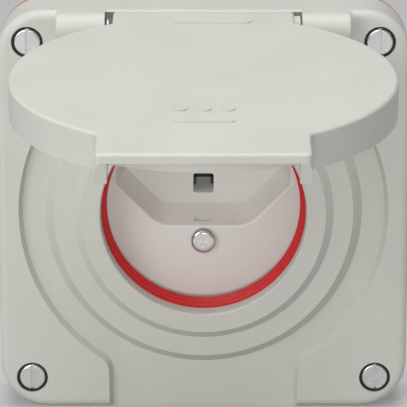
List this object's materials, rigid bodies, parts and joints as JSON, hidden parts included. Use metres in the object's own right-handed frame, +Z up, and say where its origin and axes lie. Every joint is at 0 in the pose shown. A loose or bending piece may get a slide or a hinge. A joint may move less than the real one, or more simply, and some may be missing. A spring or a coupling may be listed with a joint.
{
  "type": "socket outlet",
  "caption": "Splash-proof flush-mounted socket outlet: square cover plate, round sprung lid standing open on a hinge, six-sided plug recess with shuttered contacts behind a red sealing ring.",
  "frame": {"origin": "middle of the face that sits on the wall, which is also the middle of the two wall box slots", "axes": "+X to the right and +Z up as seen by a user facing the outlet, +Y into the wall"},
  "size_m": [0.086, 0.1295, 0.086],
  "materials": {
    "cover": "light warm grey moulded plastic, fine satin texture",
    "lid": "light warm grey moulded plastic, fine satin texture",
    "insert": "warm grey moulded plastic, smooth satin",
    "red_seal": "soft red sealing rubber, slightly shiny",
    "black_seal": "black rubber, matt",
    "plated_steel": "bright zinc-plated steel",
    "spring_steel": "drawn spring wire",
    "body": "off-white thermoset moulding",
    "shutter": "black nylon, matt",
    "brass": "plain stamped brass",
    "frame": "zinc-plated sheet steel"
  },
  "bodies": {
    "socket": {"front_cover": "cover", "wall_gasket": "red_seal", "cover_screws": "plated_steel", "screw_seals": "black_seal", "plug_gasket": "red_seal", "hinge_pin": "plated_steel", "lid_spring": "spring_steel", "insert_face": "insert", "face_screw": "plated_steel", "insert_body": "body", "shutter_spring": "spring_steel", "contact_line": "brass", "contact_neutral": "brass", "contact_earth": "brass", "terminal_clamps": "brass", "terminal_screws": "plated_steel", "earth_strap": "plated_steel", "support_frame": "frame", "corner_posts": "brass", "body_screws": "plated_steel"},
    "lid": {"lid": "lid"},
    "shutter": {"shutter": "shutter"}
  },
  "joints": [
    {"name": "lid_hinge", "type": "hinge", "parent": "socket", "child": "lid", "pos_m": [0, -0.0175, 0.0393], "axis": [-1, 0, 0], "range_deg": [-83.9, 14.5]},
    {"name": "shutter_slide", "type": "slide", "parent": "socket", "child": "shutter", "axis": [0, 0, 1], "range_m": [0, 0.0056], "stiffness_N_per_m": 150, "springref_m": -0.004, "deforming": ["shutter_spring"]}
  ]
}
